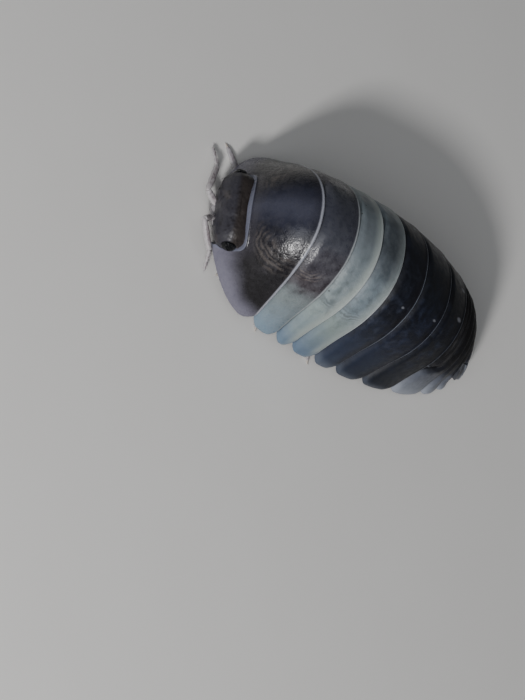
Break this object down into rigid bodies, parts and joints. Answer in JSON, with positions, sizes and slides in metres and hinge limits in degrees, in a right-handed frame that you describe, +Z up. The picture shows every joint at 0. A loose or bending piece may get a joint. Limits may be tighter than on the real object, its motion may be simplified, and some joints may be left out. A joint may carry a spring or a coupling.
{
  "type": "woodlouse model",
  "caption": "Still, life-size model of a pill woodlouse standing on its legs, with an arched shell of overlapping plates, short antennae and a blunt tail.",
  "frame": {"origin": "on the floor, under the middle of the bounding box", "axes": "+X towards the animal's left side, head towards -Y, tail towards +Y, +Z up"},
  "size_m": [0.0068, 0.0142, 0.0044],
  "materials": {
    "shell_dark": "satin, dark purplish-brown to blue-black shell with pale margins",
    "shell_blue": "satin, dark blue-grey shell with thin pale rear rims and lilac-grey side plates",
    "shell_pale": "satin, bluish-ivory shell with a creamy rear band",
    "head_skin": "satin, dark brown-grey",
    "limb_skin": "satin, whitish-lilac with brownish-purple middles",
    "eye_glaze": "glossy black"
  },
  "bodies": {
    "root": {"head": "head_skin", "telson": "shell_dark", "pereonite_1": "shell_dark", "pereonite_2": "shell_dark", "pereonite_3": "shell_pale", "pereonite_4": "shell_pale", "pereonite_5": "shell_blue", "pereonite_6": "shell_blue", "pereonite_7": "shell_blue", "pleonite_1": "shell_blue", "pleonite_2": "shell_blue", "pleonite_3": "shell_blue", "pleonite_4": "shell_blue", "pleonite_5": "shell_blue", "eye_left": "eye_glaze", "antenna_left": "limb_skin", "uropod_left": "shell_blue", "leg_left_1": "limb_skin", "leg_left_2": "limb_skin", "leg_left_3": "limb_skin", "leg_left_4": "limb_skin", "leg_left_5": "limb_skin", "leg_left_6": "limb_skin", "leg_left_7": "limb_skin", "eye_right": "eye_glaze", "antenna_right": "limb_skin", "uropod_right": "shell_blue", "leg_right_1": "limb_skin", "leg_right_2": "limb_skin", "leg_right_3": "limb_skin", "leg_right_4": "limb_skin", "leg_right_5": "limb_skin", "leg_right_6": "limb_skin", "leg_right_7": "limb_skin"}
  },
  "joints": []
}
